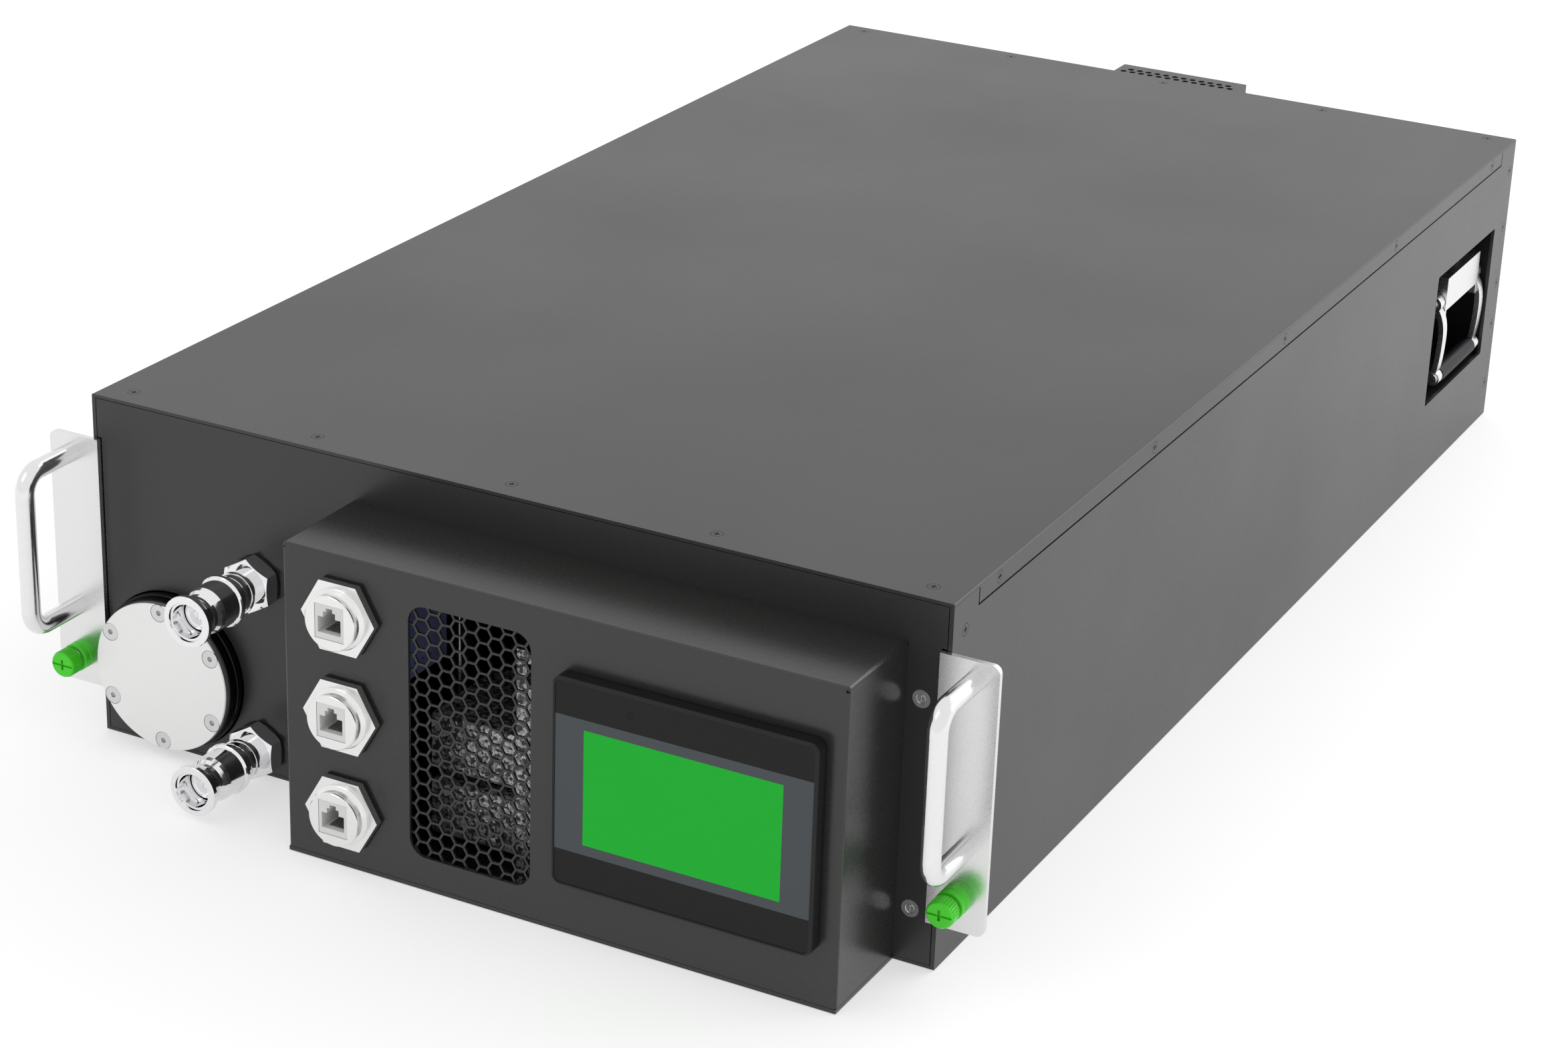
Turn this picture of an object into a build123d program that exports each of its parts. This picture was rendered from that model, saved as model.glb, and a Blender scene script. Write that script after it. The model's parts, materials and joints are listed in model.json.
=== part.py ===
from build123d import *
import os
from math import cos, sin, pi, radians, sqrt

# 4U rack liquid-cooling unit. Millimetres, +Z up, front towards -Y.
# Modelled from the front panel's face (y = 0, rearwards positive) and shifted at export,
# so that the origin is the centre of the chassis underside.

# ---- driving dimensions --------------------------------------------------
W = 446.0            # chassis width
D = 783.0            # chassis depth
H = 174.6            # chassis height (4U box)
TS = 2.0             # side panel sheet
TC = 1.6             # top cover sheet
TB = 1.6             # bottom tray sheet
TP = 2.0             # front panel sheet
SIDE = W / 2 - TS    # inner face of a side panel
FLANGE_Y0, FLANGE_Y1 = 25.4, 756.2     # folded side flange of the top cover
FLANGE_Z = 165.6
RACK_PITCH = 465.1   # rack hole spacing across
EAR_X = 246.6        # ear outer edge
EAR_Z0, EAR_Z1 = 24.2, 152.8
EAR_T = 2.5
THUMB_Z = 39.5
THUMB_X = RACK_PITCH / 2
THREAD_R = 2.95      # M6 shank
HANDLE_Z = (64.0, 143.2)
HANDLE_R, HANDLE_Y = 4.6, -37.0
MX0, MX1 = -77.1, 202.9   # control module, across
MD, MH = 54.7, 153.6      # control module, depth and height
MT = 1.5
WIN_C, WIN_W, WIN_H, WIN_R = (19.9, 77.9), 62.7, 123.1, 8.5
HEX_PITCH, HEX_AF = 7.3, 6.25
HMI_C, HMI_W, HMI_H = (130.0, 78.0), 127.4, 100.4
HMI_Y = -62.3
RJ_X, RJ_Z = -44.9, (125.8, 77.5, 29.2)
FIL_X, FIL_Z = -180.4, 42.9
FIL_R = 37.6
CP_X, CP_Z = -130.9, (101.0, 14.9)
BW_Y0, BW_Y1, BW_Z0, BW_Z1 = 653.5, 759.0, 46.4, 125.5   # side windows
BAIL_X, BAIL_Z = 213.5, 99.0                             # bail pivot
BAIL_Y0, BAIL_Y1 = 680.0, 755.5                          # outer faces of the bail's arms
GRIP_X, GRIP_Z, GRIP_R = 217.5, 54.0, 4.8
GUARD_X0, GUARD_X1, GUARD_Z0, GUARD_Z1, GUARD_D = -50.0, 33.0, 80.0, 164.5, 51.0
FAN_X, FAN_Z = -8.5, 122.2
PORTS = ((-135.0, 45.0), (-135.0, 122.0), (95.0, 45.0), (95.0, 122.0))
PORT_R, PORT_BORE = 19.0, 15.0

OUT = {}


def bx(x0, x1, y0, y1, z0, z1):
    return Pos((x0 + x1) / 2, (y0 + y1) / 2, (z0 + z1) / 2) * Box(abs(x1 - x0), abs(y1 - y0), abs(z1 - z0))


def frame_y(x, y, z):
    """local Z runs along +Y, local X along +X"""
    return Plane(origin=(x, y, z), x_dir=(1, 0, 0), z_dir=(0, 1, 0))


def frame_x(x, y, z, s=1):
    """local Z runs along +X or -X"""
    return Plane(origin=(x, y, z), x_dir=(0, 1, 0), z_dir=(s, 0, 0))


def cy(x, y0, z, r, length):
    return frame_y(x, y0, z) * Cylinder(r, length, align=(Align.CENTER, Align.CENTER, Align.MIN))


def tube(x, y0, z, ro, ri, length):
    return cy(x, y0, z, ro, length) - cy(x, y0 - 1, z, ri, length + 2)


def spun(pts):
    """revolve (r, t) points about local Z"""
    f = make_face(Polyline(*[(r, 0, t) for r, t in pts], close=True))
    return revolve(f, Axis.Z, 360)


def hexprism(af, length, rot=0):
    return extrude(RegularPolygon(af / 2, 6, major_radius=False, rotation=rot), length)


def plate_y(x, z, w, h, y0, y1, r=0.0):
    """flat plate in the XZ plane between y0 and y1, rounded corners r"""
    s = RectangleRounded(w, h, r) if r > 0 else Rectangle(w, h)
    return frame_y(x, y0, z) * extrude(s, y1 - y0)


def put(name, *solids):
    flat = []
    for s in solids:
        flat += list(s.solids())
    OUT[name] = flat


# ---- countersunk chassis screw (M3), head top at local z = 0, pointing to local -Z
_head = spun([(0, 0), (2.75, 0), (2.75, -0.25), (1.45, -1.5), (1.45, -5.0), (0, -5.0)])
_cross = Box(3.0, 0.6, 1.2) + Box(0.6, 3.0, 1.2)
SCREW = _head - _cross
SCREW_HOLE = spun([(0, 0.6), (2.95, 0.6), (2.95, -0.27), (1.6, -1.62), (1.6, -6.0), (0, -6.0)])
TOP_X = (-207.6, -103.8, 0.0, 103.8, 207.6)
screw_planes = []
top_planes = [Plane(origin=(x, y, H), z_dir=(0, 0, 1)) for y in (11.8, 774.8) for x in TOP_X]
FLANGE_SY = (45.3, 218.3, 391.3, 564.3, 737.3)
flange_planes = {s: [Plane(origin=(s * W / 2, y, 170.2), x_dir=(0, 1, 0), z_dir=(s, 0, 0)) for y in FLANGE_SY] for s in (-1, 1)}
SIDE_SZ = (22.2, 60.3, 86.4, 121.6, 157.0)
side_planes = {s: [Plane(origin=(s * W / 2, 12.3, 158.3), x_dir=(0, 1, 0), z_dir=(s, 0, 0))]
               + [Plane(origin=(s * W / 2, 776.0, z), x_dir=(0, 1, 0), z_dir=(s, 0, 0)) for z in SIDE_SZ] for s in (-1, 1)}


def cut_screws(solid, planes):
    for p in planes:
        solid = solid - p * SCREW_HOLE
    return solid


# ---- bottom tray
tray = bx(-SIDE, SIDE, 0, D, 0, TB) + bx(-105, 216, 2.1, 3.7, TB - 0.1, 11.0)
tray += bx(-SIDE, -SIDE + 1.6, 60, 640, TB - 0.1, 14) + bx(SIDE - 1.6, SIDE, 60, 640, TB - 0.1, 14)
put("bottom_tray", tray)

# ---- side panels with joggled lip and handle window
for s, name in ((-1, "side_panel_left"), (1, "side_panel_right")):
    a, b = sorted((s * SIDE, s * W / 2))
    p = bx(a, b, 0, D, 0, 172.9)
    p -= bx(a - 1, b + 1, FLANGE_Y0 - 0.9, FLANGE_Y1 + 0.9, FLANGE_Z - 0.9, 180)
    a2, b2 = sorted((s * (SIDE - 2.0), s * SIDE))
    p += bx(a2, b2, FLANGE_Y0 + 0.2, FLANGE_Y1 - 0.2, 156.5, 172.6)
    win = frame_x(s * (SIDE - 3), (BW_Y0 + BW_Y1) / 2, (BW_Z0 + BW_Z1) / 2, 1) * extrude(
        RectangleRounded(BW_Y1 - BW_Y0, BW_Z1 - BW_Z0, 1.2), 12 * s)
    p -= win
    p = cut_screws(p, side_planes[s])
    p -= [pl * Pos(0, 0, -8) * Cylinder(1.55, 12) for pl in flange_planes[s]]
    put(name, p)

# ---- top cover with folded side flanges
cover = bx(-W / 2, W / 2, 0, D, H - TC, H)
cover = fillet(cover.edges().filter_by(Axis.Y).group_by(Axis.Z)[-1], 0.8)
for s in (-1, 1):
    a, b = sorted((s * (W / 2 - TC), s * W / 2))
    cover += bx(a, b, FLANGE_Y0, FLANGE_Y1, FLANGE_Z, H - 1.0)
cover = cut_screws(cover, top_planes)
for s in (-1, 1):
    cover = cut_screws(cover, flange_planes[s])
put("top_cover", cover)
put("chassis_screws", *[p * SCREW for p in top_planes + flange_planes[-1] + flange_planes[1] + side_planes[-1] + side_planes[1]])

# ---- front panel
fp = bx(-220.6, 220.6, 0, TP, 1.8, 172.7)
for s in (-1, 1):
    a, b = sorted((s * 218.3, s * 222.0))
    fp -= bx(a, b, -1, TP + 1, EAR_Z0 - 0.6, EAR_Z1 + 0.6)
    a, b = sorted((s * (SIDE - 2.0), s * SIDE))
    a3, b3 = sorted((s * 212.0, s * 220.6))
    fp += bx(a, b, TP - 0.1, 20, 154.9, 172.4) + bx(a3, b3, TP - 0.2, TP + 0.0, 154.9, 172.4)
    fp -= frame_x(s * 218.0, 12.3, 158.3, s) * Pos(0, 0, 0) * Cylinder(1.6, 12)
fp -= cy(FIL_X, -1, FIL_Z, 39.9, 6)
for z in CP_Z:
    fp -= cy(CP_X, -1, z, 8.2, 6)
fp -= plate_y(65.0, 77.0, 250.0, 130.0, -1, TP + 1, 6.0)
for z in (26.9, 127.7):
    fp -= cy(210.0, -1, z, 2.1, 6)
    fp -= cy(210.0, -0.1, z, 4.3, 1.1)
put("front_panel", fp)


def ring_screw(x, z):
    s = frame_y(x, 0.95, z) * Plane.XY.offset(0) * Cylinder(4.2, 0.9, align=(Align.CENTER, Align.CENTER, Align.MAX))
    s += cy(x, 0.9, z, 2.0, 5.0)
    s -= cy(x, -1.0, z, 2.4, 1.5)
    s += cy(x, 0.2, z, 1.7, 0.8)
    s -= bx(x - 1.4, x + 1.4, -0.2, 0.6, z - 0.25, z + 0.25) + bx(x - 0.25, x + 0.25, -0.2, 0.6, z - 1.4, z + 1.4)
    return s



# ---- rear panel
rp = bx(-220.6, 220.6, D - 1.6, D, 1.8, 172.7)
for s in (-1, 1):
    a, b = sorted((s * (SIDE - 2.0), s * SIDE))
    a3, b3 = sorted((s * (SIDE - 2.0), s * 220.6))
    rp += bx(a, b, 766, D - 1.5, 12, 166)
    for z in SIDE_SZ:
        rp -= frame_x(s * 218.0, 776.0, z, s) * Cylinder(1.6, 12)
rp -= cy(FAN_X, D - 4, FAN_Z, 38.5, 8)
for (x, z) in PORTS:
    rp -= cy(x, D - 4, z, PORT_R + 0.3, 8)
for z in (48.0, 112.0):
    rp -= bx(155 - 13.7, 155 + 13.7, D - 4, D + 2, z - 10.7, z + 10.7)
for x in (GUARD_X0 - 4.5, GUARD_X1 + 4.5):
    for z in (GUARD_Z0 + 8, GUARD_Z1 - 8):
        rp -= cy(x, D - 4, z, 1.6, 8)
put("rear_panel", rp)

# ---- control module
hs = bx(MX0, MX1, -MD, 0, 2.2, MH)
hs = fillet(hs.edges().filter_by(Axis.Y).group_by(Axis.Z)[-1] + hs.edges().filter_by(Axis.Z).group_by(Axis.Y)[0]
            + hs.edges().filter_by(Axis.X).group_by(Axis.Y)[0].group_by(Axis.Z)[-1], 1.3)
hs -= bx(MX0 + MT, MX1 - MT, -MD + MT, 1, 1, MH - MT)
hs -= plate_y(WIN_C[0], WIN_C[1], WIN_W, WIN_H, -MD - 1, -MD + MT + 1, WIN_R)
hs -= plate_y(HMI_C[0], HMI_C[1], 119.0, 93.0, -MD - 1, -MD + MT + 1, 2.0)
for z in RJ_Z:
    hs -= cy(RJ_X, -MD - 1, z, 11.0, 4)
for x in (MX0, MX1 - 0.0):
    for y in (-MD, 0.0):
        hs -= bx(x - 1.6, x + 1.6, y - 0.9, y + 0.9, MH - 2.6, MH - 1.3)
put("module_housing", hs)
bp = bx(MX0, MX1, -MD, 0, 0, 2.0)
bp -= [Pos(x, y, 1) * Cylinder(1.7, 4) for x in (MX0 + 14, 62.9, MX1 - 14) for y in (-44, -12)]
put("module_base_plate", bp)

# ---- hexagon mesh grille behind the window
cells = []
col = HEX_PITCH * sqrt(3) / 2
for i in range(-5, 6):
    for j in range(-9, 10):
        z = j * HEX_PITCH + (HEX_PITCH / 2 if i % 2 else 0.0)
        if abs(z) < 64:
            cells.append((i * col, z))
outer = Wire.make_polygon([(-36, -66.5), (36, -66.5), (36, 66.5), (-36, 66.5)], close=True)
hr = HEX_AF / sqrt(3)
holes = [Wire.make_polygon([(cx + hr * cos(radians(60 * k)), cz + hr * sin(radians(60 * k))) for k in range(6)], close=True) for cx, cz in cells]
mesh_face = Face(outer, holes)
mesh = frame_y(WIN_C[0], -MD + MT, WIN_C[1]) * extrude(mesh_face, 1.0, dir=(0, 0, 1))
put("grille_mesh", mesh)

# ---- touch panel
cx, cz = HMI_C
gk = plate_y(cx, cz, 124.0, 97.0, -55.5, -MD, 3.0) - plate_y(cx, cz, 119.4, 93.4, -56, -54, 2.0)
put("display_gasket", gk)
bz = plate_y(cx, cz, HMI_W, HMI_H, HMI_Y, -55.5, 4.2)
bz = chamfer(bz.edges().group_by(Axis.Y)[0], 0.9)
bz -= plate_y(cx, cz, 124.4, 97.4, HMI_Y - 1, HMI_Y + 1.0, 3.0)
bz -= plate_y(cx, cz, 112.0, 86.0, HMI_Y - 1, -55, 2.0)
put("display_bezel", bz)
ov = plate_y(cx, cz, 124.2, 97.2, HMI_Y + 0.25, HMI_Y + 1.0, 2.9)
SX0, SX1, SZ0, SZ1 = 82.0, 178.0, 50.5, 105.7
ov -= bx(SX0, SX1, HMI_Y - 1, HMI_Y + 2, SZ0, SZ1)
ic = cy(104.9, HMI_Y - 1, 118.6, 1.9, 1.35) - cy(104.9, HMI_Y - 1, 118.6, 1.4, 1.35)
ic -= bx(104.4, 105.4, HMI_Y - 2, HMI_Y + 2, 119.4, 122)
ic += bx(104.65, 105.15, HMI_Y - 1, HMI_Y + 0.35, 118.7, 121.0)
ov -= ic
put("display_overlay", ov)
put("display_screen", bx(SX0 + 0.02, SX1 - 0.02, HMI_Y + 0.3, HMI_Y + 2.6, SZ0 + 0.02, SZ1 - 0.02))
rc = bx(cx - 58.5, cx + 58.5, -55.5, -30, cz - 45.5, cz + 45.5) - bx(cx - 56.5, cx + 56.5, -57, -32, cz - 43.5, cz + 43.5)
rc += bx(cx - 40, cx + 40, -40, -38.4, cz - 43.6, cz + 43.6)
put("display_rear_case", rc)

# ---- round panel RJ45 couplers with keystone jacks
bodies, nuts, gks, pins, jacks = [], [], [], [], []
RJ_Y = -66.3
JW, JZ0, JZ1, JD = 7.5, -7.8, 8.7, 27.0     # jack half width, lower and upper edge, depth
for z in RJ_Z:
    b = frame_y(RJ_X, RJ_Y, z) * spun([(0, 0), (12.7, 0), (13.1, 0.4), (13.1, 1.2), (12.5, 2.6), (12.3, 3.6), (12.7, 4.5), (13.6, 5.1), (14.2, 5.3), (14.6, 5.7), (14.6, 6.4),
                                       (10.8, 6.4), (10.8, 30), (0, 30)])
    b -= bx(RJ_X - JW - 0.12, RJ_X + JW + 0.12, RJ_Y - 1, RJ_Y + 5.4, z + JZ0 - 0.12, z + JZ1 + 0.12)
    b -= bx(RJ_X - 6.95, RJ_X + 6.95, RJ_Y + 5, RJ_Y + JD, z - 7.2, z + 7.65)
    bodies.append(b)
    jk = bx(RJ_X - JW, RJ_X + JW, RJ_Y + 0.15, RJ_Y + 5.3, z + JZ0, z + JZ1) + bx(RJ_X - 6.85, RJ_X + 6.85, RJ_Y + 5, RJ_Y + JD, z - 7.1, z + 7.55)
    port = bx(RJ_X - 6.0, RJ_X + 6.0, RJ_Y - 1, RJ_Y + 14, z - 4.9, z + 2.7)
    port += bx(RJ_X - 3.2, RJ_X + 3.2, RJ_Y - 1, RJ_Y + 14, z + 2.6, z + 5.4)
    port += bx(RJ_X - 1.7, RJ_X + 1.7, RJ_Y - 1, RJ_Y + 14, z + 5.3, z + 7.2)
    jacks.append(jk - port)
    nuts.append(frame_y(RJ_X, RJ_Y + 6.4, z) * (hexprism(33.4, 3.5, 0) - Cylinder(10.85, 20)))
    gks.append(frame_y(RJ_X, RJ_Y + 9.9, z) * (hexprism(33.4, 1.7, 0) - Cylinder(10.85, 20)))
    for k in range(8):
        px = RJ_X + (k - 3.5) * 1.02
        bar = make_face(Polyline((RJ_Y + 3.0, z - 4.9), (RJ_Y + 14.0, z - 4.9), (RJ_Y + 14.0, z + 0.6), (RJ_Y + 13.45, z + 0.6), (RJ_Y + 13.45, z - 4.4), (RJ_Y + 3.0, z - 4.4), close=True))
        pins.append(Plane(origin=(px - 0.25, 0, 0), x_dir=(0, 1, 0), z_dir=(1, 0, 0)) * extrude(bar, 0.5))
put("network_couplers", *bodies)
put("network_jacks", *jacks)
put("network_nuts", *nuts)
put("network_gaskets", *gks)
put("network_contacts", *pins)
# small switch behind the sockets
sw = bx(-58.0, -30.0, -34.0, 6.0, 86.0, 140.0)
sw = fillet(sw.edges().filter_by(Axis.Z), 1.5)
for k in range(5):
    sw -= bx(-31.0, -29.0, -28.0 + k * 6.0, -25.5 + k * 6.0, 92.0, 96.0)
put("network_switch", sw)

# ---- filter with flanged cover
fh = frame_y(FIL_X, -6.6, FIL_Z) * spun([(0, 140), (0, 143), (33, 143), (33, 14.5), (39.3, 14.5), (39.3, 2.9), (38.9, 2.5), (38.1, 2.5), (38.1, -1.5), (37.8, -1.8), (30, -1.8), (30, 140)])
fh -= bx(-230, -218.3, -8, 10, 0, 90)
fh += Pos(FIL_X, 100, FIL_Z + 38) * Cylinder(9, 16)
fh -= Pos(FIL_X, 100, FIL_Z + 38) * Cylinder(6.5, 30)
SC_R = 33.4
for k in range(6):
    a = radians(30 + 60 * k)
    fh -= cy(FIL_X + SC_R * cos(a), -9, FIL_Z + SC_R * sin(a), 1.9, 11.5)
put("filter_housing", fh)
fc = frame_y(FIL_X, -11.4, FIL_Z) * spun([(0, 0), (FIL_R - 0.4, 0), (FIL_R, 0.4), (FIL_R, 3.0), (0, 3.0)])
sock = frame_y(0, 0, 0) * (spun([(0, 0), (4.3, 0), (4.3, 0.35), (1.9, 2.8), (1.9, 11.5), (0, 11.5)]) - hexprism(2.5, 1.8, 0))
for k in range(6):
    a = radians(30 + 60 * k)
    fc -= frame_y(FIL_X + SC_R * cos(a), -11.4, FIL_Z + SC_R * sin(a)) * spun([(0, -0.5), (4.5, -0.5), (4.5, 0.5), (1.95, 2.95), (1.95, 6), (0, 6)])
put("filter_cover", fc)
put("filter_cover_screws", *[Pos(FIL_X + SC_R * cos(radians(30 + 60 * k)), -11.3, FIL_Z + SC_R * sin(radians(30 + 60 * k))) * sock for k in range(6)])
fe = frame_y(FIL_X, 2, FIL_Z) * spun([(0, 0), (25, 0), (25, 118), (0, 118), (0, 114), (22.5, 114), (22.5, 4), (0, 4)])
put("filter_element", fe)

# ---- rack ears
ears = []
for s in (-1, 1):
    a, b = sorted((s * 218.8, s * EAR_X))
    e = bx(a, b, -3.0, -3.0 + EAR_T, EAR_Z0, EAR_Z1)
    a2, b2 = sorted((s * 218.8, s * 220.8))
    e += bx(a2, b2, -3.0, 55.0, EAR_Z0, EAR_Z1)
    far = [ed for ed in e.edges().filter_by(Axis.Y) if abs(ed.center().X - s * EAR_X) < 0.2]
    e = fillet(far, 4.0)
    e -= cy(s * THUMB_X, -5, THUMB_Z, 4.6, 6)
    for z in HANDLE_Z:
        e -= frame_y(s * 235.0, -3.0 + EAR_T, z) * spun([(0, 0.3), (4.0, 0.3), (4.0, 0), (2.05, -1.95), (2.05, -4), (0, -4)])
    ears.append(e)
put("rack_ears", *ears)

# ---- bar handles on the ears
handles, hscrews = [], []
for s in (-1, 1):
    x = s * 235.0
    path = FilletPolyline((x, -3.0, HANDLE_Z[0]), (x, HANDLE_Y, HANDLE_Z[0]), (x, HANDLE_Y, HANDLE_Z[1]), (x, -3.0, HANDLE_Z[1]), radius=10.0)
    h = sweep(Plane(origin=(x, -3.0, HANDLE_Z[0]), z_dir=(0, -1, 0)) * Circle(HANDLE_R), path=path)
    for z in HANDLE_Z:
        h -= cy(x, -13.0, z, 1.95, 12)
        sc = frame_y(x, -3.0 + EAR_T, z) * spun([(0, 0), (3.8, 0), (1.95, -1.85), (1.95, -11.5), (0, -11.5)])
        sc -= frame_y(x, -3.0 + EAR_T, z) * extrude(RegularPolygon(1.25, 6, major_radius=False), -1.2)
        hscrews.append(sc)
    handles.append(h)
put("rack_handles", *handles)
put("front_screws", ring_screw(210.0, 26.9), ring_screw(210.0, 127.7), *hscrews)

# ---- captive thumbscrews
KN = 30
KNOB_Y0, KNOB_Y1 = -19.8, -12.0
ferr = []
for s, side in ((-1, "left"), (1, "right")):
    x = s * THUMB_X
    f = frame_y(x, -3.0, THUMB_Z) * spun([(3.0, 2.5), (4.6, 2.5), (4.6, 0), (6.9, 0), (6.9, -3.0), (6.5, -3.4), (6.5, -4.2), (6.9, -4.6), (6.9, -7.0), (6.5, -7.4), (3.0, -7.4)])
    ferr.append(f)
    put("thumb_ring_" + side, frame_y(x, -11.6, THUMB_Z) * (Cylinder(5.5, 0.8, align=(Align.CENTER, Align.CENTER, Align.MIN)) - Cylinder(3.0, 10)))
    pts = []
    for k in range(2 * KN):
        rr = 6.65 if k % 2 == 0 else 6.25
        for off in (-0.28, 0.28):
            a = pi * (k + off) / KN
            pts.append((rr * cos(a), rr * sin(a)))
    kn = frame_y(x, KNOB_Y0 + 1.2, THUMB_Z) * extrude(make_face(Polyline(*pts, close=True)), KNOB_Y1 - KNOB_Y0 - 2.0)
    kn += frame_y(x, KNOB_Y0, THUMB_Z) * spun([(0, 0), (5.7, 0), (6.3, 0.6), (6.3, 1.3), (0, 1.3)])
    kn += frame_y(x, KNOB_Y1 - 0.9, THUMB_Z) * spun([(0, 0), (6.3, 0), (5.9, 0.9), (0, 0.9)])
    kn -= bx(x - 5.9, x + 5.9, KNOB_Y0 - 1, KNOB_Y0 + 0.9, THUMB_Z - 0.55, THUMB_Z + 0.55)
    kn -= bx(x - 0.65, x + 0.65, KNOB_Y0 - 1, KNOB_Y0 + 1.6, THUMB_Z - 2.6, THUMB_Z + 2.6)
    kn -= cy(x, KNOB_Y0 + 3.0, THUMB_Z, 2.7, 10)
    put("thumb_knob_" + side, kn)
    put("thumb_shank_" + side, frame_y(x, KNOB_Y0 + 3.0, THUMB_Z) * spun([(0, 0), (2.7, 0), (2.7, 16.9), (THREAD_R, 17.2), (THREAD_R, 23.5), (1.9, 24.6), (0, 24.6)]))
put("thumb_ferrules", *ferr)

# ---- fluid couplings
bases, noses, washers = [], [], []
for z, side in zip(CP_Z, ("upper", "lower")):
    washers.append(tube(CP_X, -0.9, z, 12.6, 8.05, 0.9))
    hx = frame_y(CP_X, -10.2, z) * hexprism(24.0, 9.3, 30)
    hx &= frame_y(CP_X, -10.2, z) * spun([(0, 0), (11.6, 0), (13.9, 1.3), (13.9, 8.0), (11.6, 9.3), (0, 9.3)])
    nk = frame_y(CP_X, -26.2, z) * spun([(0, 0), (9.4, 0), (9.4, 2.2), (10.0, 2.2), (10.0, 3.6), (9.2, 3.8), (9.2, 5.2), (9.8, 5.4), (9.8, 7.4), (9.0, 7.6), (9.0, 8.0),
                                         (10.3, 8.2), (10.3, 9.6), (8.6, 9.8), (8.6, 17.0), (8.0, 17.0), (8.0, 42.0), (0, 42.0)])
    b = hx + nk - cy(CP_X, -27, z, 6.0, 60)
    bases.append(b)
    n = frame_y(CP_X, -55.0, z) * spun([(9.6, 0), (12.2, 0), (12.45, 0.3), (12.45, 2.5), (11.8, 2.9), (11.0, 4.0), (10.1, 5.8), (9.3, 8.0), (9.1, 9.6), (9.5, 11.2),
                                        (10.6, 13.2), (11.2, 15.0), (11.3, 25.4), (12.0, 25.8), (12.5, 26.4), (12.5, 28.2), (12.0, 28.8),
                                        (6.0, 28.8), (6.0, 24.0), (2.05, 24.0), (2.05, 19.0), (8.3, 19.0), (8.3, 0.9), (9.2, 0.9)])
    for k in range(5):
        a = radians(72 * k + 18)
        n -= cy(CP_X + 4.5 * cos(a), -38, z + 4.5 * sin(a), 1.35, 9)
    noses.append(n)
    pp = frame_y(CP_X, -46.5, z) * spun([(0, 0), (2.2, 0), (2.6, 0.5), (3.2, 1.4), (5.6, 1.4), (6.2, 1.0), (7.4, 1.0), (7.9, 1.5), (7.9, 3.8), (2.0, 3.8), (2.0, 22.8), (0, 22.8)])
    pp -= bx(CP_X - 0.5, CP_X + 0.5, -48, -45.9, z - 2, z + 2)
    put("coupling_poppet_" + side, pp)
put("coupling_bases", *bases)
put("coupling_noses", *noses)
put("coupling_washers", *washers)

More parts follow.
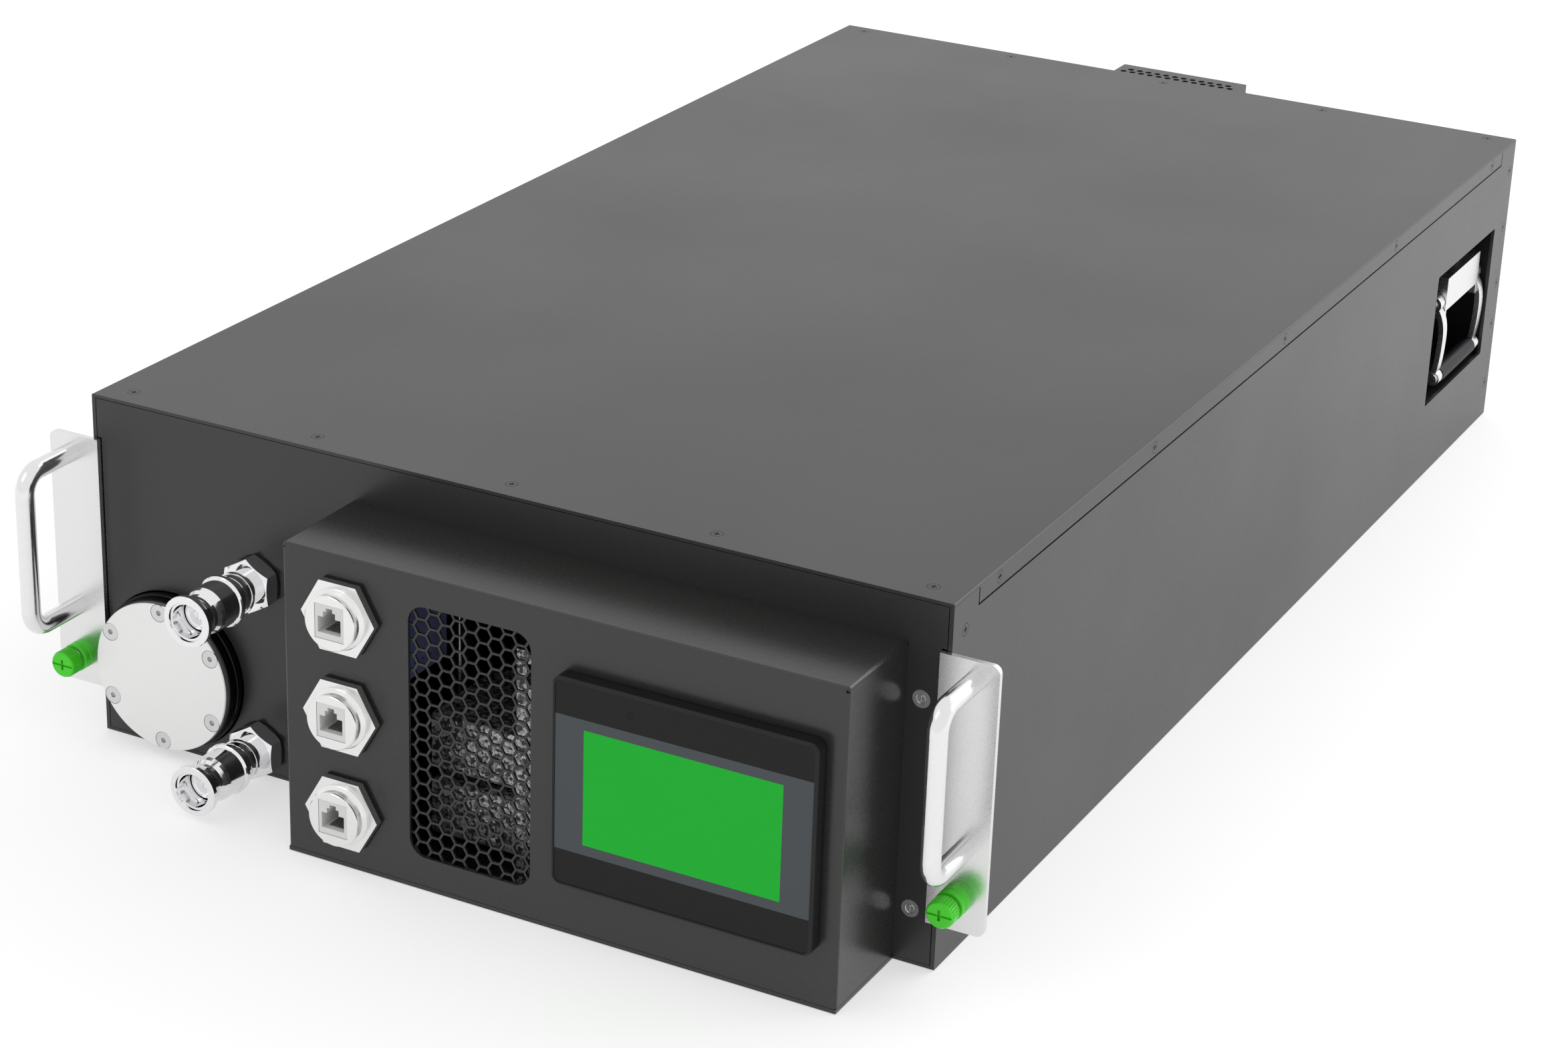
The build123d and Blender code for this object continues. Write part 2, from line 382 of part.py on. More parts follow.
# ---- recessed carry handles in both sides
rec, brk, bpin = [], [], []
for s, side in ((-1, "left"), (1, "right")):
    def sx(v):
        return s * v

    def sbx(x0, x1, y0, y1, z0, z1):
        a, b = sorted((s * x0, s * x1))
        return bx(a, b, y0, y1, z0, z1)
    cup = sbx(176.0, SIDE, 651.2, 761.3, 44.1, 127.8) - sbx(177.6, SIDE + 1, 652.8, 759.7, 45.7, 126.2)
    rec.append(cup)
    ci0, ci1 = BAIL_Y0 + 7.6, BAIL_Y1 - 7.6           # outer faces of the bracket's cheeks
    b = sbx(177.6, 179.6, ci0, ci1, 78, 120) + sbx(177.6, 219.0, ci0, ci1, 112.0, 114.0) + sbx(217.0, 219.0, ci0, ci1, 94.0, 114.0)
    b -= sbx(186, 212, 708, 727, 110, 116)
    for y0 in (ci0, ci1 - 2.4):
        lug = sbx(179.5, 218.9, y0, y0 + 2.4, 88.0, 112.5)
        lug -= sbx(178, 204.0, y0 - 1, y0 + 4, 80, 104)
        b += lug
    for y in (699.0, 736.0):
        for xx in (191.0, 207.0):
            b += Pos(sx(xx), y, 113.5) * Cylinder(3.3, 2.6, align=(Align.CENTER, Align.CENTER, Align.MIN))
            b -= Pos(sx(xx), y, 114.9) * extrude(RegularPolygon(1.5, 6, major_radius=False), 2.0)
        hd = Plane(origin=(sx(179.0), y, 85.0), x_dir=(0, 1, 0), z_dir=(s, 0, 0)) * (Cylinder(3.3, 2.8, align=(Align.CENTER, Align.CENTER, Align.MIN)) - Pos(0, 0, 1.4) * extrude(RegularPolygon(1.5, 6, major_radius=False), 2.0))
        b += hd
    b -= cy(sx(BAIL_X), 660, BAIL_Z, 2.5, 110)
    brk.append(b)
    for y0 in (BAIL_Y0 - 1.2, ci1 - 3.2):
        bpin.append(cy(sx(BAIL_X), y0, BAIL_Z, 2.5, 12.0))
    # swinging bail: two curved straps and a tube
    ln_pts = [(BAIL_X, BAIL_Z), (219.0, 89.5), (220.0, 76.0), (219.2, 64.5), (GRIP_X, GRIP_Z)]
    sp = Spline(*[(s * px, 0, pz) for px, pz in ln_pts])
    left, right = [], []
    for i in range(17):
        q = sp @ (i / 16)
        t = sp % (i / 16)
        nx, nz = -t.Z, t.X
        left.append((q.X + nx * 1.5, q.Z + nz * 1.5))
        right.append((q.X - nx * 1.5, q.Z - nz * 1.5))
    poly = left + right[::-1]
    arms = None
    for y0 in (BAIL_Y0, BAIL_Y1 - 7.0):
        arm = frame_y(0, y0, 0) * extrude(make_face(Polyline(*[(px, -pz) for px, pz in poly], close=True)), 7.0)
        arm += cy(sx(BAIL_X), y0, BAIL_Z, 5.0, 7.0) + cy(sx(GRIP_X), y0, GRIP_Z, 4.4, 7.0)
        arm -= cy(sx(BAIL_X), y0 - 1, BAIL_Z, 2.56, 9)
        arms = arm if arms is None else arms + arm
    arms += cy(sx(GRIP_X), BAIL_Y0 - 1.6, GRIP_Z, 3.2, BAIL_Y1 - BAIL_Y0 + 3.2)
    put("bail_" + side, arms)
    gl = BAIL_Y1 - BAIL_Y0 - 14.6
    put("bail_grip_" + side, frame_y(sx(GRIP_X), BAIL_Y0 + 7.3, GRIP_Z) * (spun([(3.2, 0), (4.2, 0), (GRIP_R, 0.7), (GRIP_R, gl - 0.7), (4.2, gl), (3.2, gl)])))
put("handle_recesses", *rec)
put("bail_brackets", *brk)
put("bail_pins", *bpin)


# ---- rear guard (perforated) and fan
def perf_plate(w, h, t, pitch, r, margin):
    o = Wire.make_polygon([(-w / 2, -h / 2), (w / 2, -h / 2), (w / 2, h / 2), (-w / 2, h / 2)], close=True)
    hh = []
    nx, nz = int((w / 2 - margin) // pitch), int((h / 2 - margin) // (pitch * 0.866))
    for j in range(-nz, nz + 1):
        for i in range(-nx, nx + 1):
            px = i * pitch + (pitch / 2 if j % 2 else 0)
            if abs(px) > w / 2 - margin:
                continue
            hh.append(Wire.make_circle(r, Plane((px, j * pitch * 0.866, 0))))
    return extrude(Face(o, hh), t, dir=(0, 0, 1))


gw, gh, gt = GUARD_X1 - GUARD_X0, GUARD_Z1 - GUARD_Z0, 1.2
gcx, gcz = (GUARD_X0 + GUARD_X1) / 2, (GUARD_Z0 + GUARD_Z1) / 2
gy = D + GUARD_D
g = frame_y(gcx, gy - gt, gcz) * perf_plate(gw, gh, gt, 6.0, 2.0, 5.0)
g += Pos(gcx, D + GUARD_D / 2, GUARD_Z1 - gt) * perf_plate(gw, GUARD_D, gt, 6.0, 2.0, 5.0)
g += bx(GUARD_X0, GUARD_X1, D, gy, GUARD_Z0, GUARD_Z0 + gt)
g += Plane(origin=(GUARD_X0, D + GUARD_D / 2, gcz), x_dir=(0, 1, 0), z_dir=(1, 0, 0)) * perf_plate(GUARD_D, gh, gt, 6.0, 2.0, 5.0)
g += Plane(origin=(GUARD_X1 - gt, D + GUARD_D / 2, gcz), x_dir=(0, 1, 0), z_dir=(1, 0, 0)) * perf_plate(GUARD_D, gh, gt, 6.0, 2.0, 5.0)
for s in (-1, 1):
    xa = GUARD_X0 if s < 0 else GUARD_X1
    a, b = sorted((xa, xa + s * 9))
    fl = bx(a, b, D, D + gt, GUARD_Z0, GUARD_Z1)
    for z in (GUARD_Z0 + 8, GUARD_Z1 - 8):
        fl -= cy(xa + s * 4.5, D - 1, z, 1.6, 4)
    g += fl
put("rear_guard", g)
FY = D + 6.0
ff = plate_y(FAN_X, FAN_Z, 79.6, 79.6, FY, FY + 38, 4.0) - cy(FAN_X, FY - 1, FAN_Z, 38.4, 42)
ff += tube(FAN_X, FY, FAN_Z, 15.5, 3.05, 4.0)
for k in range(4):
    ff += frame_y(FAN_X, FY, FAN_Z) * Rot(0, 0, 45 + 90 * k) * Pos(27.5, 0, 1.5) * Box(26, 4, 3)
for (dx, dz) in ((-1, -1), (-1, 1), (1, -1), (1, 1)):
    ff -= cy(FAN_X + dx * 35.75, FY - 1, FAN_Z + dz * 35.75, 2.15, 42)
put("fan_frame", ff)
fr = frame_y(FAN_X, FY + 4.6, FAN_Z) * spun([(0, -3.5), (3.0, -3.5), (3.0, 0), (15.5, 0), (15.5, 20), (14.0, 21.5), (0, 21.5)])
for k in range(7):
    fr += frame_y(FAN_X, FY + 4.6, FAN_Z) * Rot(0, 0, 360 / 7 * k) * Pos(25.2, 0, 10.5) * Rot(38, 0, 0) * Box(22.6, 1.6, 22)
fr &= cy(FAN_X, FY - 2, FAN_Z, 37.2, 60)
put("fan_rotor", fr)

# ---- rear fluid ports and power inlets
ports = []
for (x, z) in PORTS:
    p = frame_y(x, D, z) * spun([(PORT_BORE, -14), (18.6, -14), (18.6, 0), (26, 0), (26, 5), (24.5, 6), (PORT_R, 6), (PORT_R, 30.5), (PORT_R - 1.5, 32), (PORT_BORE, 32)])
    ports.append(p)
put("rear_ports", *ports)
inl = []
for z in (48.0, 112.0):
    i_ = bx(155 - 13.5, 155 + 13.5, D - 24, D + 0.0, z - 10.5, z + 10.5) + bx(155 - 16.5, 155 + 16.5, D, D + 3, z - 13.5, z + 13.5)
    i_ -= bx(155 - 11.5, 155 + 11.5, D - 16, D + 4, z - 8.5, z + 8.5)
    for dx in (-6, 0, 6):
        i_ += bx(155 + dx - 1, 155 + dx + 1, D - 17, D - 3, z - 3, z + 3)
    inl.append(i_)
put("power_inlets", *inl)

# ---- internals
hxp = bx(-172, -98, 598, 604, 14, 158) + bx(-172, -98, 728, 734, 14, 158)
for k in range(31):
    y = 604 + k * 4.0
    hxp += bx(-170 + (k % 2), -100 - (k % 2), y - 0.01, y + 4.01, 16 + (k % 2), 156 - (k % 2))
for z in (45.0, 122.0):
    hxp += tube(-135, 733.9, z, 18.6, 15.0, 35.0)
put("heat_exchanger", hxp)

res = bx(-200, -70, 330, 520, 12, 148)
res = fillet(res.edges(), 8) - bx(-195, -75, 335, 515, 17, 143)
res += Pos(-135, 425, 150) * Cylinder(16, 8)
put("reservoir", res)


def pump(x, y, z, k):
    """volute with motor along +Y; returns stator solid and rotor solid"""
    st = frame_y(x, y, z) * spun([(7 * k, -10 * k), (10 * k, -10 * k), (10 * k, 0), (34 * k, 0), (38 * k, 4 * k), (38 * k, 26 * k), (31 * k, 30 * k), (29 * k, 34 * k),
                                 (29 * k, 100 * k), (24 * k, 106 * k), (4.05 * k, 106 * k), (4.05 * k, 40 * k), (22 * k, 40 * k), (22 * k, 34 * k), (4.05 * k, 34 * k), (4.05 * k, 30 * k),
                                 (33 * k, 26 * k), (33 * k, 4 * k), (7 * k, 4 * k)])
    out = Pos(x + 30 * k, y + 15 * k, z + 26 * k) * (Cylinder(9 * k, 56 * k) - Cylinder(6.5 * k, 80 * k))
    core = frame_y(x, y, z) * spun([(0, 3 * k), (33 * k, 3 * k), (33 * k, 26.5 * k), (0, 26.5 * k)])
    st += out - core
    ro = frame_y(x, y, z) * spun([(0, 6 * k), (6 * k, 6 * k), (10 * k, 10 * k), (10 * k, 20 * k), (28 * k, 20 * k), (28 * k, 23 * k), (4 * k, 23 * k), (4 * k, 104 * k), (0, 104 * k)])
    for q in range(6):
        ro += frame_y(x, y, z) * Rot(0, 0, 60 * q) * Pos(18.5 * k, 0, 14.6 * k) * Rot(0, 0, 25) * Box(17 * k, 2 * k, 11 * k)
    return st, ro


s1, r1 = pump(40.0, 470.0, 62.0, 1.0)
s2, r2 = pump(150.0, 470.0, 62.0, 1.0)
put("pump_housings", s1, s2)
put("pump_impeller_left", r1)
put("pump_impeller_right", r2)


def pipe(pts, r, t, rad):
    path = FilletPolyline(*pts, radius=rad) if len(pts) > 2 else Polyline(*pts)
    d0 = (Vector(*pts[1]) - Vector(*pts[0])).normalized()
    pl = Plane(origin=pts[0], z_dir=d0)
    return sweep(pl * Circle(r), path=path) - sweep(pl * Circle(r - t), path=path)


pipes = [
    pipe([(95, 769, 45), (95, 640, 45), (95, 640, 140), (70, 640, 140), (70, 485, 140), (70, 485, 116.5)], 9.0, 1.5, 11.0),
    pipe([(40, 459.5, 62), (40, 380, 62), (-69.5, 380, 62)], 10.0, 1.5, 20),
    pipe([(150, 459.5, 62), (150, 350, 62), (-69.5, 350, 62)], 10.0, 1.5, 20),
    pipe([(95, 769, 122), (95, 700, 122), (-40, 700, 122), (-40, 560, 122), (-97.0, 560, 122)], 12.0, 1.5, 22),
    pipe([(FIL_X, 100, 89.2), (FIL_X, 100, 135), (FIL_X, 329.5, 135)], 9.0, 1.5, 20),
    pipe([(CP_X, 16.2, 101), (CP_X, 60, 101), (-22, 60, 101), (-22, 60, 30), (-22, 290, 30)], 8.0, 1.2, 14),
    pipe([(CP_X, 16.2, 14.9), (CP_X, 42, 14.9), (-46, 42, 14.9), (-46, 42, 150), (-46, 290, 150)], 8.0, 1.2, 11),
]
put("coolant_pipes", *pipes)

psu = []
for z0 in (13.0, 46.0):
    p_ = fillet(bx(-17.0, 28.8, -28.0, 30.0, z0, z0 + 28.0).edges().filter_by(Axis.X), 3.0)
    for k in range(6):
        p_ -= bx(-12 + k * 6.4, -9 + k * 6.4, -29, -26.8, z0 + 5, z0 + 13)
        p_ -= bx(-12 + k * 6.4, -9 + k * 6.4, -20, 22, z0 + 26.8, z0 + 29)
    psu.append(p_)
br = bx(28.8, 46.0, -30.0, -28.8, 2.0, 118.0) + bx(28.8, 46.0, -30.0, -12.0, 2.0, 3.2) + bx(28.8, 30.0, -29.0, 28.0, 13.0, 76.0)
br -= [bx(34.0, 41.0, -31, -28, 100, 112)]
psu.append(br)
put("power_supplies", *psu)
pcb = bx(75, 205, 22, 150, 14, 15.6)
for (x, y, w, d, h) in ((90, 40, 18, 30, 10), (120, 40, 30, 18, 6), (160, 45, 24, 24, 14), (90, 90, 40, 12, 12), (150, 90, 16, 40, 18), (180, 100, 14, 14, 22), (110, 115, 25, 25, 5)):
    pcb += bx(x, x + w, y, y + d, 15.5, 15.6 + h)
for (x, y) in ((80, 27), (200, 27), (80, 145), (200, 145)):
    pcb += bx(x - 3, x + 3, y - 3, y + 3, TB, 14.1)
put("control_board", pcb)

# ---- write the pieces
os.makedirs("parts", exist_ok=True)
shift = Pos(0, -D / 2, 0)
for name, solids in OUT.items():
    moved = [shift * s for s in solids]
    shape = moved[0] if len(moved) == 1 else Compound(children=moved)
    export_step(shape, "parts/%s.step" % name)
print(len(OUT), "nodes")
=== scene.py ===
import json
import math
import bpy
import bmesh
from mathutils import Matrix, Vector

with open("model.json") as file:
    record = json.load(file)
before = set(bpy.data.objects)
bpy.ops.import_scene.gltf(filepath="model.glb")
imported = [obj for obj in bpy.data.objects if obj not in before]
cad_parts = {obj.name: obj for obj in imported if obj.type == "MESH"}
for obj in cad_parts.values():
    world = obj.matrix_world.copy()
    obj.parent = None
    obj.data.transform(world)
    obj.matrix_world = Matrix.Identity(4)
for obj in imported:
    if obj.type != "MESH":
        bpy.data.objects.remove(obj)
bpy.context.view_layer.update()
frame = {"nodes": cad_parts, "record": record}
N = frame["nodes"]
D = 0.783            # chassis depth, the front panel's face is at y = -D / 2
F = -D / 2


# ------------------------------------------------------------------ materials
def new_mat(name):
    m = bpy.data.materials.new(name)
    m.use_nodes = True
    nt = m.node_tree
    nt.nodes.clear()
    out = nt.nodes.new("ShaderNodeOutputMaterial")
    b = nt.nodes.new("ShaderNodeBsdfPrincipled")
    nt.links.new(b.outputs["BSDF"], out.inputs["Surface"])
    return m, nt, b


def coords(nt, scale=(1, 1, 1), rot=(0, 0, 0)):
    tc = nt.nodes.new("ShaderNodeTexCoord")
    mp = nt.nodes.new("ShaderNodeMapping")
    mp.inputs["Scale"].default_value = scale
    mp.inputs["Rotation"].default_value = rot
    nt.links.new(tc.outputs["Object"], mp.inputs["Vector"])
    return mp.outputs["Vector"]


def noise(nt, vec, scale, detail=3.0, rough=0.5):
    n = nt.nodes.new("ShaderNodeTexNoise")
    n.inputs["Scale"].default_value = scale
    n.inputs["Detail"].default_value = detail
    n.inputs["Roughness"].default_value = rough
    nt.links.new(vec, n.inputs["Vector"])
    return n.outputs["Fac"]


def ramp(nt, fac, lo, hi, c0, c1):
    r = nt.nodes.new("ShaderNodeMapRange")
    r.inputs["From Min"].default_value = lo
    r.inputs["From Max"].default_value = hi
    r.inputs["To Min"].default_value = c0
    r.inputs["To Max"].default_value = c1
    nt.links.new(fac, r.inputs["Value"])
    return r.outputs["Result"]


def mixc(nt, fac, a, b):
    m = nt.nodes.new("ShaderNodeMix")
    m.data_type = "RGBA"
    nt.links.new(fac, m.inputs["Factor"])
    m.inputs["A"].default_value = (*a, 1)
    m.inputs["B"].default_value = (*b, 1)
    return m.outputs["Result"]


def bump(nt, height, strength, dist, normal=None):
    b = nt.nodes.new("ShaderNodeBump")
    b.inputs["Strength"].default_value = strength
    b.inputs["Distance"].default_value = dist
    nt.links.new(height, b.inputs["Height"])
    if normal is not None:
        nt.links.new(normal, b.inputs["Normal"])
    return b.outputs["Normal"]


def edge_wear(nt, radius=0.0006):
    """0 on flat faces, towards 1 along convex edges"""
    g = nt.nodes.new("ShaderNodeNewGeometry")
    return ramp(nt, g.outputs["Pointiness"], 0.52, 0.60, 0.0, 1.0)


def powder_coat(name, col, rough=0.46, grain=1.0, spec=0.5):
    m, nt, b = new_mat(name)
    v = coords(nt)
    fine = noise(nt, v, 1500, 2.0, 0.6)
    mid = noise(nt, v, 420, 3.0, 0.5)
    big = noise(nt, v, 7, 3.0, 0.5)
    lo = tuple(c * 0.90 for c in col)
    hi = tuple(c * 1.12 for c in col)
    nt.links.new(mixc(nt, ramp(nt, fine, 0.3, 0.7, 0, 1), lo, hi), b.inputs["Base Color"])
    a = nt.nodes.new("ShaderNodeMath"); a.operation = "ADD"
    nt.links.new(ramp(nt, big, 0.3, 0.7, rough - 0.03, rough + 0.03), a.inputs[0])
    nt.links.new(ramp(nt, fine, 0.3, 0.7, -0.04, 0.04), a.inputs[1])
    nt.links.new(a.outputs[0], b.inputs["Roughness"])
    n1 = bump(nt, mid, 0.18 * grain, 0.0004)
    nt.links.new(bump(nt, fine, 0.22 * grain, 0.00012, n1), b.inputs["Normal"])
    b.inputs["Specular IOR Level"].default_value = spec
    return m


def metal(name, col, rough=0.3, streak=None, var=0.05, bstr=0.08, scale=900, smudge=0.04, bdist=0.00008):
    """streak: (sx, sy, sz) scales of a brushed grain, or None for a plain polished or cast face"""
    m, nt, b = new_mat(name)
    b.inputs["Metallic"].default_value = 1.0
    v = coords(nt, streak if streak else (1, 1, 1))
    g = noise(nt, v, scale, 2.0, 0.6)
    big = noise(nt, coords(nt), 28, 3.0, 0.55)
    lo = tuple(c * (1 - var) for c in col)
    hi = tuple(min(1.0, c * (1 + var)) for c in col)
    nt.links.new(mixc(nt, ramp(nt, g, 0.25, 0.75, 0, 1), lo, hi), b.inputs["Base Color"])
    a = nt.nodes.new("ShaderNodeMath"); a.operation = "ADD"; a.use_clamp = True
    nt.links.new(ramp(nt, big, 0.3, 0.7, rough - smudge, rough + smudge), a.inputs[0])
    nt.links.new(ramp(nt, g, 0.3, 0.7, -0.03, 0.03), a.inputs[1])
    nt.links.new(a.outputs[0], b.inputs["Roughness"])
    nt.links.new(bump(nt, g, bstr, bdist), b.inputs["Normal"])
    return m


def plastic(name, col, rough=0.35, var=0.08, bstr=0.08, scale=1400, coat=0.0, spec=0.5, bdist=0.00006):
    m, nt, b = new_mat(name)
    v = coords(nt)
    g = noise(nt, v, scale, 2.0, 0.5)
    big = noise(nt, v, 40, 3.0, 0.5)
    lo = tuple(c * (1 - var) for c in col)
    hi = tuple(min(1.0, c * (1 + var)) for c in col)
    nt.links.new(mixc(nt, ramp(nt, big, 0.3, 0.7, 0, 1), lo, hi), b.inputs["Base Color"])
    nt.links.new(ramp(nt, g, 0.3, 0.7, rough - 0.04, rough + 0.04), b.inputs["Roughness"])
    nt.links.new(bump(nt, g, bstr, bdist), b.inputs["Normal"])
    b.inputs["Specular IOR Level"].default_value = spec
    if coat:
        b.inputs["Coat Weight"].default_value = coat
        b.inputs["Coat Roughness"].default_value = 0.06
    return m


def screen(name, col, strength):
    m, nt, b = new_mat(name)
    v = coords(nt)
    g = noise(nt, v, 12, 2.0, 0.5)
    fine = nt.nodes.new("ShaderNodeTexWave")
    fine.inputs["Scale"].default_value = 900
    nt.links.new(v, fine.inputs["Vector"])
    lo = tuple(c * 0.98 for c in col)
    c = mixc(nt, ramp(nt, g, 0.3, 0.7, 0, 1), lo, col)
    b.inputs["Base Color"].default_value = (0.004, 0.010, 0.004, 1)
    nt.links.new(c, b.inputs["Emission Color"])
    b.inputs["Emission Strength"].default_value = strength
    nt.links.new(ramp(nt, fine.outputs["Fac"], 0, 1, 0.16, 0.20), b.inputs["Roughness"])
    b.inputs["Specular IOR Level"].default_value = 0.05
    return m


def banded_film(name, col, band, z0, z1, rough=0.5, spec=0.18):
    """printed film: a lighter band between two heights of the unit"""
    m, nt, b = new_mat(name)
    v = coords(nt)
    sep = nt.nodes.new("ShaderNodeSeparateXYZ")
    nt.links.new(v, sep.inputs["Vector"])
    up = ramp(nt, sep.outputs["Z"], z0 - 0.00008, z0 + 0.00008, 0, 1)
    dn = ramp(nt, sep.outputs["Z"], z1 - 0.00008, z1 + 0.00008, 1, 0)
    mul = nt.nodes.new("ShaderNodeMath"); mul.operation = "MULTIPLY"
    nt.links.new(up, mul.inputs[0]); nt.links.new(dn, mul.inputs[1])
    nt.links.new(mixc(nt, mul.outputs[0], col, band), b.inputs["Base Color"])
    g = noise(nt, v, 2200, 2.0, 0.5)
    nt.links.new(ramp(nt, g, 0.3, 0.7, rough - 0.04, rough + 0.04), b.inputs["Roughness"])
    nt.links.new(bump(nt, g, 0.03, 0.00004), b.inputs["Normal"])
    b.inputs["Specular IOR Level"].default_value = spec
    return m


def galvanised(name, dark, light, rough=0.34):
    """speckled zinc: small bright and dark flakes"""
    m, nt, b = new_mat(name)
    v = coords(nt)
    vo = nt.nodes.new("ShaderNodeTexVoronoi")
    vo.inputs["Scale"].default_value = 620
    nt.links.new(v, vo.inputs["Vector"])
    sep = nt.nodes.new("ShaderNodeSeparateXYZ")
    nt.links.new(vo.outputs["Color"], sep.inputs["Vector"])
    g = noise(nt, v, 900, 3.0, 0.7)
    add = nt.nodes.new("ShaderNodeMath"); add.operation = "MULTIPLY"
    nt.links.new(sep.outputs["X"], add.inputs[0]); nt.links.new(ramp(nt, g, 0.3, 0.7, 0.4, 1.6), add.inputs[1])
    f = ramp(nt, add.outputs[0], 0.25, 0.95, 0, 1)
    nt.links.new(mixc(nt, f, dark, light), b.inputs["Base Color"])
    b.inputs["Metallic"].default_value = 0.7
    nt.links.new(ramp(nt, g, 0.3, 0.7, rough - 0.08, rough + 0.1), b.inputs["Roughness"])
    nt.links.new(bump(nt, vo.outputs["Distance"], 0.35, 0.0004), b.inputs["Normal"])
    return m


PAINT = (0.0185, 0.0185, 0.0179)
M = {
    "chassis_paint": powder_coat("chassis_paint", PAINT, 0.34, 0.5),
    "module_paint": powder_coat("module_paint", PAINT, 0.26, 0.35),
    "ear_steel": metal("ear_steel", (0.74, 0.74, 0.74), 0.26, None, 0.03, 0.10, 1900, 0.02),
    "handle_chrome": metal("handle_chrome", (0.77, 0.77, 0.77), 0.17, None, 0.02, 0.03, 500, 0.03),
    "coupling_chrome": metal("coupling_chrome", (0.80, 0.80, 0.81), 0.075, None, 0.03, 0.02, 900, 0.02),
    "silver_plate": metal("silver_plate", (0.78, 0.78, 0.775), 0.42, None, 0.03, 0.06, 2600, 0.03),
    "satin_metal": metal("satin_metal", (0.745, 0.745, 0.735), 0.32, None, 0.04, 0.06, 1800, 0.03),
    "screw_black": powder_coat("screw_black", PAINT, 0.34, 0.4),
    "screw_steel": metal("screw_steel", (0.62, 0.62, 0.62), 0.22, None, 0.06, 0.06, 1800),
    "green_plastic": plastic("green_plastic", (0.050, 0.56, 0.012), 0.30, 0.06, 0.08, 1600, 0.15, 0.3),
    "black_plastic": plastic("black_plastic", (0.010, 0.010, 0.0098), 0.42, 0.10, 0.08, 1800, 0.0, 0.22),
    "overlay_black": banded_film("overlay_black", (0.0085, 0.0085, 0.0082), (0.058, 0.066, 0.071), 0.0458, 0.1106),
    "screen_green": screen("screen_green", (0.0135, 0.385, 0.031), 1.0),
    "black_rubber": plastic("black_rubber", (0.010, 0.010, 0.010), 0.60, 0.12, 0.2, 1200, 0.0, 0.3),
    "black_anodised": metal("black_anodised", (0.022, 0.022, 0.023), 0.30, None, 0.1, 0.08, 1800),
    "gold_contacts": metal("gold_contacts", (0.34, 0.335, 0.32), 0.30, None, 0.04, 0.04, 2000),
    "jack_grey": plastic("jack_grey", (0.60, 0.60, 0.595), 0.45, 0.03, 0.06, 1800, 0.0, 0.4),
    "grille_paint": powder_coat("grille_paint", (0.012, 0.012, 0.0118), 0.34, 0.6),
    # navy_plastic: base several times lighter than the part's own navy colour, painted light that makes up for the
    # shade behind the grille
    "navy_plastic": plastic("navy_plastic", (0.17, 0.19, 0.36), 0.42, 0.08, 0.08, 1400, 0.0, 0.4),
    "navy_rubber": plastic("navy_rubber", (0.0042, 0.0042, 0.0075), 0.50, 0.1, 0.2, 900, 0.0, 0.25),
    # recess_black: base about a quarter of the paint's, painted shade that darkens the recess interiors where little
    # light gets in
    "recess_black": powder_coat("recess_black", (0.0045, 0.0045, 0.0045), 0.5, 0.4, 0.2),
    "inner_steel": metal("inner_steel", (0.82, 0.82, 0.81), 0.16, None, 0.05, 0.06, 700),
    "pump_paint": powder_coat("pump_paint", (0.10, 0.10, 0.105), 0.5, 2.5),
    "tank_plastic": plastic("tank_plastic", (0.42, 0.44, 0.45), 0.45, 0.06, 0.1, 900),
    "filter_mesh": metal("filter_mesh", (0.6, 0.6, 0.6), 0.35, (1, 1, 1), 0.2, 0.3, 1600),
    "pcb_green": plastic("pcb_green", (0.018, 0.11, 0.045), 0.35, 0.15, 0.15, 500),
    "psu_metal": galvanised("psu_metal", (0.06, 0.06, 0.06), (0.66, 0.66, 0.66)),
}
COUPLER = metal("coupler_nickel", (0.79, 0.79, 0.785), 0.19, None, 0.03, 0.05, 2200, 0.03)
MISSING = sorted({sp["material_slot"] for sp in frame["record"]["subparts"]} - set(M))
if MISSING:
    raise RuntimeError("no material for slots: %s" % MISSING)
for sp in frame["record"]["subparts"]:
    o = N[sp["node"]]
    o.data.materials.clear()
    o.data.materials.append(COUPLER if sp["node"] in ("network_couplers", "network_nuts") else M[sp["material_slot"]])

# ------------------------------------------------------------------ stage
def add_mesh(name, verts, faces):
    me = bpy.data.meshes.new(name)
    me.from_pydata(verts, [], faces)
    me.update()
    o = bpy.data.objects.new(name, me)
    bpy.context.scene.collection.objects.link(o)
    return o


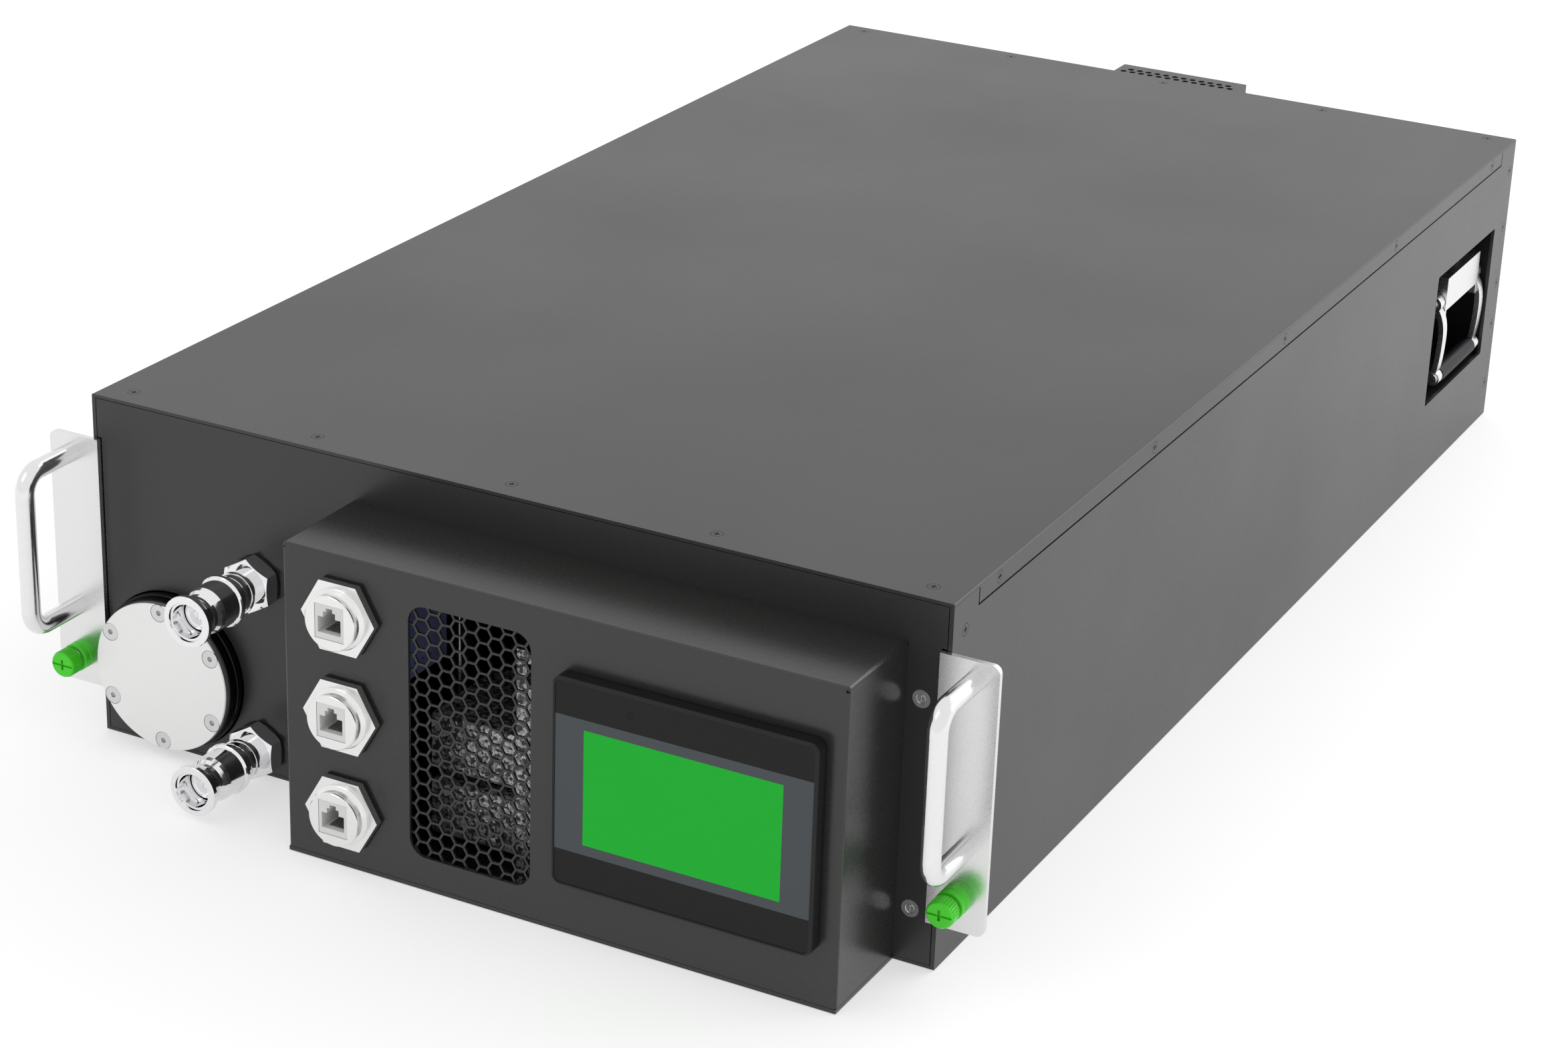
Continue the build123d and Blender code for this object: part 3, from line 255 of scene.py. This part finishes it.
S = 14.0
floor = add_mesh("floor", [(-S, -S, -0.0006), (S, -S, -0.0006), (S, S, -0.0006), (-S, S, -0.0006)], [(0, 1, 2, 3)])
fm, nt, b = new_mat("floor_paint")
v = coords(nt)
nt.links.new(mixc(nt, noise(nt, v, 3, 2), (0.47, 0.47, 0.47), (0.49, 0.49, 0.49)), b.inputs["Base Color"])
b.inputs["Emission Color"].default_value = (1, 1, 1, 1)
b.inputs["Emission Strength"].default_value = 0.54
b.inputs["Roughness"].default_value = 0.9
b.inputs["Specular IOR Level"].default_value = 0.1
floor.data.materials.append(fm)

bpy.context.scene.view_settings.view_transform = "Standard"
world = bpy.data.worlds.new("studio")
bpy.context.scene.world = world
world.use_nodes = True
wn = world.node_tree
bg = wn.nodes["Background"]
bg.inputs["Color"].default_value = (1.0, 1.0, 1.0, 1)
bg.inputs["Strength"].default_value = 1.0


def area(name, loc, target, size, power, size_y=None):
    l = bpy.data.lights.new(name, "AREA")
    l.energy = power
    l.shape = "RECTANGLE"
    l.size = size
    l.size_y = size_y or size
    o = bpy.data.objects.new(name, l)
    bpy.context.scene.collection.objects.link(o)
    o.location = loc
    d = Vector(target) - Vector(loc)
    o.rotation_euler = d.to_track_quat("-Z", "Y").to_euler()
    return o


area("key", (-1.2, -2.2, 2.6), (0, -0.1, 0.05), 1.6, 4)
area("rim", (1.2, 2.6, 2.2), (0, 0.1, 0.1), 2.2, 30)
area("fill", (2.4, 1.8, 1.1), (0.2, 0, 0.08), 1.6, 20)

# ------------------------------------------------------------------ camera
cam = bpy.data.cameras.new("camera")
cam.sensor_fit = "HORIZONTAL"
cam.sensor_width = 36.0
cam.lens = 36.0 * 5294.6346 / 2346.0
cam.clip_start = 0.05
cam.clip_end = 60
co = bpy.data.objects.new("camera", cam)
bpy.context.scene.collection.objects.link(co)
right = Vector((0.88386304, 0.4665436, 0.03351415))
down = Vector((0.21175288, -0.335217, -0.9180361))
fwd = Vector((-0.41706936, 0.8185149, -0.39507786))
rot = Matrix((right, -down, -fwd)).transposed()
co.matrix_world = Matrix.Translation((0.7649285, -1.22223558 + F, 0.78230842)) @ rot.to_4x4()
bpy.context.scene.camera = co
